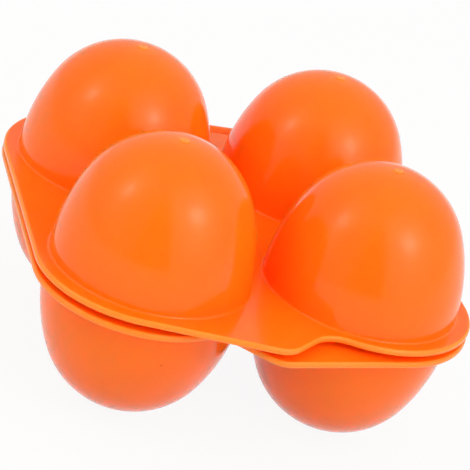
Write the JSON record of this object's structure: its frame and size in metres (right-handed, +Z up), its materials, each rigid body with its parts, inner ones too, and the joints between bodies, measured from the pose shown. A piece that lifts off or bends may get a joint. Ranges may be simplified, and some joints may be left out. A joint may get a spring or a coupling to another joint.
{
  "type": "egg box",
  "caption": "Hinged clamshell egg box: two like plastic half shells with egg-shaped cups, flat flanges and offset finger tabs, turning on a pin along the back edge.",
  "frame": {"origin": "on the ground under the middle of the box", "axes": "+X to the right seen from the finger tabs, +Y to the hinge at the back, +Z up"},
  "size_m": [0.1076, 0.1162, 0.0696],
  "materials": {
    "shell_plastic": "glossy orange moulded plastic",
    "pin_steel": "drawn wire"
  },
  "bodies": {
    "tray": {"lower_shell": "shell_plastic", "hinge_pin": "pin_steel"},
    "lid": {"upper_shell": "shell_plastic"}
  },
  "joints": [
    {"name": "lid_hinge", "type": "hinge", "parent": "tray", "child": "lid", "pos_m": [0, 0.0557, 0.0343], "axis": [-1, 0, 0], "range_deg": [-0.7, 179.3]}
  ]
}
